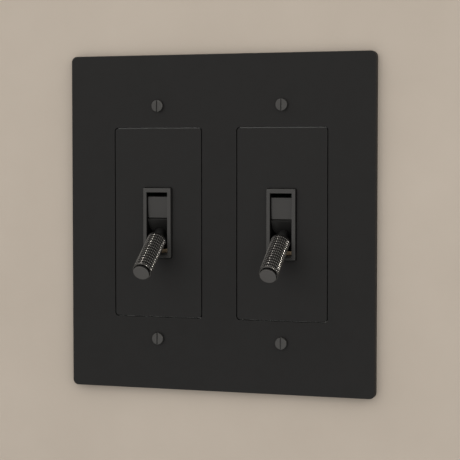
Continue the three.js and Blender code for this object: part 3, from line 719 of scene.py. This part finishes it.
def turned(name, profile, segments=96, shift=None, place=None, crest=None):
    """A surface turned about Y. The profile is (radius, y) from end to end, closed at its poles or on itself.

    shift(angle, y, radius) is taken off the radius, and crest(angle, y) is kept on each point for the finish.
    """
    mesh = bmesh.new()
    layer = mesh.verts.layers.float.new("crest") if crest else None
    radius_mm = mesh.verts.layers.float.new("radius_mm")
    rings = []
    for radius, y in profile:
        if radius < POLE:
            pole = mesh.verts.new((0, y, 0))
            if layer:
                pole[layer] = crest(0.0, y)
            rings.append([pole])
            continue
        ring = []
        for index in range(segments):
            angle = 2 * math.pi * index / segments
            reach = radius - (shift(angle, y, radius) if shift else 0.0)
            vert = mesh.verts.new((reach * math.sin(angle), y, reach * math.cos(angle)))
            if layer:
                vert[layer] = crest(angle, y)
            vert[radius_mm] = radius / MM
            ring.append(vert)
        rings.append(ring)
    pairs = list(zip(rings, rings[1:]))
    if profile[0][0] > POLE:
        pairs.append((rings[-1], rings[0]))
    for first, second in pairs:
        for index in range(segments):
            after = (index + 1) % segments
            if len(first) == 1:
                mesh.faces.new((first[0], second[index], second[after]))
            elif len(second) == 1:
                mesh.faces.new((first[index], first[after], second[0]))
            else:
                mesh.faces.new((first[index], first[after], second[after], second[index]))
    return finish_mesh(mesh, name, place)


def lever_frame(side):
    """The lever's own frame: pivot at the origin, lever along -Y."""
    joint = JOINTS[f"{side}_lever_hinge"]
    dip = math.radians(joint["range_deg"][1] - joint["range_deg"][0]) / 2
    return Matrix.Translation(Vector(joint["pos_m"])) @ Matrix.Rotation(dip, 4, "X")


def lever_span(side, node):
    """(nearest, farthest, widest radius) of a node, measured along its lever from the pivot."""
    to_lever = lever_frame(side).inverted()
    points = [to_lever @ vert.co for vert in frame["nodes"][node].data.vertices]
    outs = [-point.y for point in points]
    return min(outs), max(outs), max(math.hypot(point.x, point.z) for point in points)


KNURL_COLUMNS = 30
KNURL_ROWS = 13
KNURL_DEPTH = 0.3 * MM
KNURL_STEPS = 8
KNURL_TURN = {"left": 0.0, "right": 0.28}
KNURL_BLUNT = 1.17
PLAIN_CREST = 0.45
GRIP_BORE = 1.6 * MM
GRIP_PLAIN = {"start": 0.24 * MM, "end": 0.42 * MM}
GRIP_RIM = {"bore": 2.95 * MM, "depth": 1.1 * MM, "ease": 0.05 * MM}


def build_grip(side):
    node = f"{side}_knurled_grip"
    start, end, radius = lever_span(side, node)
    first, last = start + GRIP_PLAIN["start"], end - GRIP_PLAIN["end"]
    rim_bore, rim_floor, rim_ease = GRIP_RIM["bore"], end - GRIP_RIM["depth"], GRIP_RIM["ease"]
    pitch = (last - first) / KNURL_ROWS

    def height(angle, out):
        """0 in the grooves, 1 on the crests: blunt diamonds in straight rows and columns."""
        turn = KNURL_COLUMNS * angle / (2 * math.pi) + KNURL_TURN[side]
        step = (out - first) / pitch - 0.5
        off_crest = abs(turn - round(turn)) + abs(step - round(step))
        return max(0.0, min(1.0, KNURL_BLUNT * (1 - 2 * off_crest)))

    def cut(angle, y, at_radius):
        out = -y
        if at_radius < radius - 0.5 * KNURL_DEPTH or not first - POLE <= out <= last + POLE:
            return 0.0
        return KNURL_DEPTH * (1 - height(angle, out))

    def crest(angle, y):
        out = -y
        return height(angle, out) if first <= out <= last else PLAIN_CREST

    count = KNURL_ROWS * KNURL_STEPS
    profile = [
        (GRIP_BORE, start),
        (radius - 0.3 * MM, start),
        (radius - 0.08 * MM, start + 0.08 * MM),
        (radius, start + 0.18 * MM),
        *((radius, first + (last - first) * row / count) for row in range(count + 1)),
        (radius, last + 0.03 * MM),
        (radius, end - 0.12 * MM),
        (radius - 0.04 * MM, end - 0.04 * MM),
        (radius - 0.12 * MM, end),
        (rim_bore + rim_ease, end),
        (rim_bore, end - rim_ease),
        (rim_bore, rim_floor),
        (GRIP_BORE, rim_floor),
    ]
    grip = turned(
        f"{side}_knurled_grip_finished", [(r, -out) for r, out in profile],
        segments=KNURL_COLUMNS * KNURL_STEPS, shift=cut, place=lever_frame(side), crest=crest,
    )
    stand_in(grip, node, f"{side}_lever")


NECK = {
    "grip_stud": 1.5 * MM, "root_stud": 1.2 * MM, "root_length": 4.35 * MM,
    "ease": 0.1 * MM, "gap": 0.1 * MM,
}


def build_neck(side):
    """The smooth neck with a stud at each end: one into the rocker, one into the grip."""
    node = f"{side}_lever_neck"
    start, end, radius = lever_span(side, node)
    shoulder = lever_span(side, f"{side}_knurled_grip")[0] - NECK["gap"]
    back = start + NECK["root_length"]
    ease = NECK["ease"]
    profile = [
        (0, start),
        (NECK["root_stud"], start),
        (NECK["root_stud"], back),
        (radius - ease, back),
        (radius, back + ease),
        (radius, shoulder - ease),
        (radius - ease, shoulder),
        (NECK["grip_stud"], shoulder),
        (NECK["grip_stud"], end),
        (0, end),
    ]
    piece = turned(f"{side}_lever_neck_finished", [(r, -out) for r, out in profile], place=lever_frame(side))
    stand_in(piece, node, f"{side}_lever")


CAP = {
    "stud": 1.5 * MM, "waist": 2.4 * MM, "body": 2.1 * MM, "head": 0.7 * MM,
    "rim": 0.05 * MM, "ease": 0.12 * MM, "ease_steps": 4, "inset": 0.04 * MM,
}


def build_end_cap(side):
    """A round head on a thinner waist, which leaves a groove in front of the grip's rim; the finish paints the
    head's side and the waist dark as shade.
    """
    node = f"{side}_end_cap"
    start, end, radius = lever_span(side, node)
    end -= CAP["inset"]
    body, head = end - CAP["body"], end - CAP["head"]
    rim, ease = CAP["rim"], CAP["ease"]
    profile = [
        (0, start),
        (CAP["stud"], start),
        (CAP["stud"], body),
        (CAP["waist"], body),
        (CAP["waist"], head),
        (radius - rim, head),
        (radius, head + rim),
    ]
    for step in range(CAP["ease_steps"] + 1):
        angle = step / CAP["ease_steps"] * math.pi / 2
        profile.append((radius - ease * (1 - math.cos(angle)), end - ease * (1 - math.sin(angle))))
    profile += [(radius * 0.9, end), (radius * 0.5, end), (0, end)]

    def crest(angle, y):
        """1 on the faced end, 0 on the side of the head and behind it, where the finish paints shade."""
        return 1.0 if -y > end - 0.6 * ease else 0.0

    piece = turned(
        f"{side}_end_cap_finished", [(r, -out) for r, out in profile], place=lever_frame(side), crest=crest,
    )
    stand_in(piece, node, f"{side}_lever")


# ---------------------------------------------------------------- screws

def thread_cut(pitch, depth, low, high):
    """A helical thread between two heights, as a depth to take off the shank."""
    def cut(angle, y, radius):
        if not low < y < high:
            return 0.0
        turn = (angle / (2 * math.pi) + y / pitch) % 1.0
        fade = min(1.0, (y - low) / pitch, (high - y) / pitch)
        return depth * fade * (1 - abs(2 * turn - 1))
    return cut


SCREWS = {
    "plate": {"head": 2.15 * MM, "height": 1.0 * MM, "shank": 1.7 * MM, "pitch": 0.8 * MM},
    "housing": {"head": 2.7 * MM, "height": 2.0 * MM, "shank": 1.5 * MM, "pitch": 0.7 * MM},
    "ground": {"head": 3.0 * MM, "height": 2.2 * MM, "shank": 1.6 * MM, "pitch": 0.8 * MM},
    "terminal": {"head": 3.2 * MM, "height": 2.2 * MM, "shank": 1.6 * MM, "pitch": 0.8 * MM},
}
DOME = {"share": 0.35, "shoulder": 0.86, "flat": 0.8, "middle": 0.4, "steps": 8}
HEAD_EASE = 0.08 * MM
TIP = {"length": 0.6 * MM, "share": 0.7}
THREAD = {"share": 0.18, "start": 0.4 * MM, "stop": 0.5 * MM, "rows_per_pitch": 6, "segments": 48}
SLOT = {"width": 0.6 * MM, "depth": 0.55 * MM}


def screw_profile(length, head, height, shank, pitch):
    """(radius, y) from the tip to the middle of the head's dome."""
    thread_end = length - TIP["length"]
    profile = [(0, length), (shank * TIP["share"], length), (shank, thread_end)]
    rows = max(4, int(length / pitch * THREAD["rows_per_pitch"]))
    profile += [(shank, thread_end * (1 - row / rows)) for row in range(1, rows)]
    profile += [(shank, 0.0), (head - HEAD_EASE, 0.0), (head, -HEAD_EASE)]
    skirt = height * (1 - DOME["share"])
    rise = height - skirt
    shoulder = DOME["shoulder"]
    for step in range(DOME["steps"]):
        angle = step / DOME["steps"] * math.pi / 2
        reach = head * (shoulder + (1 - shoulder) * math.cos(angle))
        profile.append((reach, -skirt - rise * math.sin(angle)))
    profile += [(head * DOME["flat"], -height), (head * DOME["middle"], -height), (0, -height)]
    return profile


def build_screw(node, kind):
    """A slotted screw drawn along +Y with its head's underside at y = 0, and then set in its place.

    The plate screws' heads face -Y. All the others', the terminal screws' too, face +Y.
    """
    low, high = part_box(node)
    shape = SCREWS[kind]
    head, height, shank, pitch = shape.values()
    length = (high - low).y - height
    cut = thread_cut(pitch, THREAD["share"] * shank, THREAD["start"], length - THREAD["stop"])
    screw = turned(
        f"{node}_finished", screw_profile(length, **shape), segments=THREAD["segments"], shift=cut,
    )

    cutter = bmesh.new()
    bmesh.ops.create_cube(cutter, size=1.0)
    for vert in cutter.verts:
        vert.co.x *= SLOT["width"]
        vert.co.y = vert.co.y * 2 * SLOT["depth"] - height
        vert.co.z *= 3 * head
    cut_away(screw, cutter)

    centre = (low + high) / 2
    if kind == "plate":
        seat, turn = (centre.x, low.y + height, centre.z), 0.0
    else:
        seat, turn = (centre.x, high.y - height, centre.z), math.pi
    screw.data.transform(Matrix.Translation(seat) @ Matrix.Rotation(turn, 4, "Z"))
    stand_in(screw, node, "root")


# ---------------------------------------------------------------- pieces with softened edges

BEVEL_SEGMENTS = 3


def build_softened(node, body, ease, polish_and_shade=None):
    """The CAD shape with its flat faces cleaned and its sharp edges rounded a little.

    The per-face function, if given, is kept on each face, and the finish darkens the colour by it as painted
    shade.
    """
    source = frame["nodes"][node]
    mesh = bmesh.new()
    mesh.from_mesh(source.data)
    bmesh.ops.remove_doubles(mesh, verts=mesh.verts, dist=WELD)
    bmesh.ops.dissolve_limit(mesh, angle_limit=FLAT_ANGLE, verts=mesh.verts, edges=mesh.edges)
    if polish_and_shade:
        layer = mesh.faces.layers.float.new("polish_and_shade")
        for face in mesh.faces:
            face[layer] = polish_and_shade(face)
    piece = finish_mesh(mesh, f"{node}_finished")
    bevel = piece.modifiers.new("ease", "BEVEL")
    bevel.width = ease
    bevel.segments = BEVEL_SEGMENTS
    bevel.limit_method = "ANGLE"
    bevel.angle_limit = SMOOTH_ANGLE
    bevel.use_clamp_overlap = True
    weigh_normals(piece)
    stand_in(piece, node, body)
    return piece


HOUSING_OUTLINE = {"width": 34 * MM, "height": 66 * MM, "corner": 2 * MM}
HOUSING_EASE = 0.5 * MM
PARTING_LINE = {"from_back": 5.4 * MM, "width": 0.35 * MM, "depth": 0.3 * MM}
VENT = {
    "length": 15 * MM, "width": 1.1 * MM, "radius": 0.53 * MM, "depth": 0.5 * MM, "recess": 0.5 * MM,
    "start": 9 * MM, "pitch": 2.6 * MM, "rows": 4,
}


def build_housing(side):
    """The moulded box with its parting line and two banks of blind vents in the back panel."""
    node = f"{side}_rear_housing"
    piece = build_softened(node, "root", HOUSING_EASE)
    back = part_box(node)[1].y
    x = gang_centre(side)
    width, height, corner = HOUSING_OUTLINE.values()
    groove = PARTING_LINE
    shrink = 2 * groove["depth"]
    middle = back - groove["from_back"]
    cutter = Sheet()
    rings = [
        cutter.ring(rounded_loop(width + grow, height + grow, corner), y, (x, 0))
        for grow, y in (
            (shrink, middle - groove["width"] / 2), (shrink, middle + groove["width"] / 2),
            (-shrink, middle + groove["width"] / 2), (-shrink, middle - groove["width"] / 2),
        )
    ]
    cutter.wall(rings + [rings[0]])
    floor = back - VENT["recess"]
    for end in ENDS.values():
        for row in range(VENT["rows"]):
            z = end * (VENT["start"] + row * VENT["pitch"])
            loop = rounded_loop(VENT["length"], VENT["width"], VENT["radius"], 4)
            near = cutter.ring(loop, floor - VENT["depth"], (x, z))
            far = cutter.ring(loop, back + VENT["depth"], (x, z))
            cutter.wall([near, far])
            cutter.cap(near)
            cutter.cap(far)
    cut_away(piece, cutter.mesh)
    weigh_normals(piece)


# Shares of the metal's colour kept on the rocker: the shields a little darker as painted shade, the boss partly
# duller finish and partly painted shade.
SHIELD_START = 5.62 * MM
SHIELD_SHADE_SHARE = 0.87
BOSS_DULL_AND_SHADE_SHARE = 0.45


def rocker_polish_and_shade(side):
    """The two curved shields keep most of the metal's colour, a little darker as painted shade; the boss and the
    hub between them are darkened, partly as a duller finish and partly as painted shade of the recess.
    """
    to_lever = lever_frame(side).inverted()

    def polish_and_shade(face):
        centre = to_lever @ face.calc_center_median()
        return SHIELD_SHADE_SHARE if abs(centre.z) > SHIELD_START else BOSS_DULL_AND_SHADE_SHARE
    return polish_and_shade


# ---------------------------------------------------------------- the object

EASES = {
    "rocker": 0.1 * MM, "stop_strip": 0.12 * MM, "mounting_yoke": 0.15 * MM,
    "line_terminal_plate": 0.15 * MM, "load_terminal_plate": 0.15 * MM,
}

build_wall_plate()
for side_name in SIDES:
    build_insert(side_name)
    build_bezel(side_name)
    build_grip(side_name)
    build_neck(side_name)
    build_end_cap(side_name)
    build_softened(
        f"{side_name}_rocker", f"{side_name}_lever", EASES["rocker"], polish_and_shade=rocker_polish_and_shade(side_name),
    )
    build_softened(f"{side_name}_stop_strip", "root", EASES["stop_strip"])
    build_housing(side_name)
    for part in ("mounting_yoke", "line_terminal_plate", "load_terminal_plate"):
        build_softened(f"{side_name}_{part}", "root", EASES[part])
    build_screw(f"{side_name}_ground_screw", "ground")
    for wire in ("line", "load"):
        build_screw(f"{side_name}_{wire}_terminal_screw", "terminal")
    for end_name in ENDS:
        build_screw(f"{end_name}_{side_name}_plate_screw", "plate")
        build_screw(f"{end_name}_{side_name}_housing_screw", "housing")


# ---------------------------------------------------------------- stage and light

PANEL = {
    "width": 240 * MM, "height": 220 * MM, "thick": 1 * MM,
    "gap": 0.05 * MM, "corner": 0.5 * MM, "steps": 2,
}
CUT_OUT_MARGIN = 4 * MM


def build_wall():
    """A plain pale panel behind the plate, cut out where the wall box would be."""
    sheet = Sheet()
    outer = rounded_loop(PANEL["width"], PANEL["height"], PANEL["corner"], PANEL["steps"])
    cut_out = rounded_loop(
        2 * (PLATE_HIGH.x - CUT_OUT_MARGIN), 2 * (PLATE_HIGH.z - CUT_OUT_MARGIN),
        PANEL["corner"], PANEL["steps"],
    )
    face = WALL + PANEL["gap"]
    rings = [sheet.ring(outer, face), sheet.ring(outer, face + PANEL["thick"])]
    holes = [sheet.ring(cut_out, face), sheet.ring(cut_out, face + PANEL["thick"])]
    sheet.wall(rings)
    sheet.wall(holes)
    sheet.cap(rings[0], holes[0])
    sheet.cap(rings[1], holes[1])
    wall = finish_mesh(sheet.mesh, "wall_panel")
    graph = Graph("pale_plaster")
    clouds = graph.noise(22, 5, 0.6)
    graph.colour(graph.blend_colours(clouds, (0.45, 0.395, 0.335), (0.53, 0.47, 0.405)))
    graph.shader.inputs["Roughness"].default_value = 0.9
    graph.bump(graph.noise(160, 5, 0.6), 6e-5)
    wall.data.materials.append(graph.material)


# where it stands and what it aims at, in metres, then its size, its power in watts and its colour
FRONT_MIDDLE = (0.0, PLATE_FRONT, 0.0)
BACK_MIDDLE = (0.0, 0.02, 0.0)
WHITE = (1.0, 1.0, 1.0)
LIGHTS = {
    "key": ((-0.5, -0.6, 0.8), FRONT_MIDDLE, (1.5, 1.5), 7.0, (1.0, 0.97, 0.93)),
    "low_fill": ((-0.1, -0.95, -0.45), FRONT_MIDDLE, (1.8, 1.2), 3.3, (1.0, 0.98, 0.96)),
    "glint": ((0.76, -0.36, 0.56), FRONT_MIDDLE, (0.05, 0.05), 5.0, (1.0, 0.95, 0.89)),
    "side_fill": ((0.8, -0.6, 0.4), FRONT_MIDDLE, (1.2, 1.2), 5.5, (1.0, 0.96, 0.91)),
    "back_soft": ((-0.4, 0.8, 0.6), BACK_MIDDLE, (0.8, 0.8), 9.0, WHITE),
    "back_side": ((0.7, 0.5, 0.1), BACK_MIDDLE, (0.5, 0.8), 4.0, WHITE),
}
WORLD_COLOUR = (0.93, 0.91, 0.88)
WORLD_STRENGTH = 0.45


def area_light(name, place, aim, size, power, colour):
    data = bpy.data.lights.new(name, "AREA")
    data.shape = "RECTANGLE"
    data.size, data.size_y = size
    data.energy = power
    data.color = colour
    lamp = bpy.data.objects.new(name, data)
    bpy.context.scene.collection.objects.link(lamp)
    lamp.location = place
    lamp.rotation_mode = "QUATERNION"
    lamp.rotation_quaternion = (Vector(aim) - Vector(place)).to_track_quat("-Z", "Y")
    lamp.visible_camera = False
    return lamp


def light_scene():
    world = bpy.data.worlds.new("studio")
    bpy.context.scene.world = world
    world.use_nodes = True
    background = world.node_tree.nodes["Background"]
    background.inputs["Color"].default_value = (*WORLD_COLOUR, 1)
    background.inputs["Strength"].default_value = WORLD_STRENGTH
    lamps = {name: area_light(name, *values) for name, values in LIGHTS.items()}
    grips = bpy.data.collections.new("glint_receivers")
    for side in SIDES:
        grips.objects.link(bpy.data.objects[f"{side}_knurled_grip_finished"])
    lamps["glint"].light_linking.receiver_collection = grips
    bpy.context.scene.view_settings.view_transform = "Standard"


build_wall()
light_scene()
